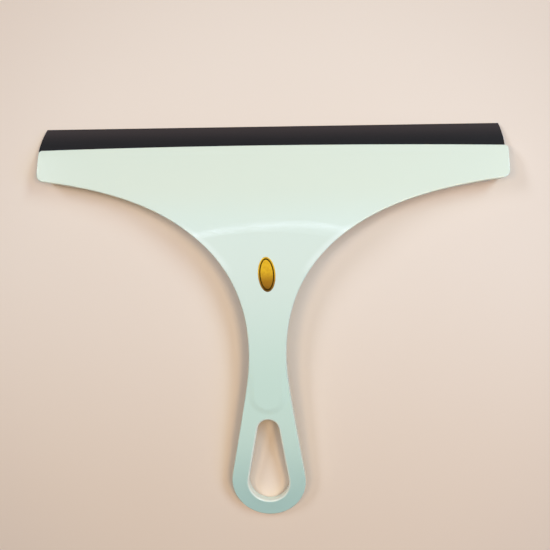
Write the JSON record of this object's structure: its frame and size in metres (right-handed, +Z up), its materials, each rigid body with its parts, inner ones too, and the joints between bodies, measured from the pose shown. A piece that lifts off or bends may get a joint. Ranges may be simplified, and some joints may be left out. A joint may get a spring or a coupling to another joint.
{
  "type": "bathroom squeegee",
  "caption": "Flat T-shaped shower squeegee with a hollow ribbed back and a teardrop hang hole, and a rubber wiping blade held in a channel along its front edge.",
  "frame": {"origin": "on the surface that the squeegee lies on, below the middle of its outline", "axes": "+X across the head, +Y from the handle to the blade's edge, +Z up out of the visible face"},
  "size_m": [0.2456, 0.2087, 0.0183],
  "materials": {
    "mint_plastic": "satin moulded plastic in a pale mint green",
    "black_rubber": "matt black rubber",
    "gold_foil": "gold foil with a dark border line"
  },
  "bodies": {
    "moulding": {"squeegee_body": "mint_plastic", "foil_label": "gold_foil"},
    "blade": {"rubber_blade": "black_rubber"}
  },
  "joints": [
    {"name": "blade_slide", "type": "slide", "parent": "moulding", "child": "blade", "axis": [1, 0, 0], "range_m": [-0.24, 0.24]}
  ]
}
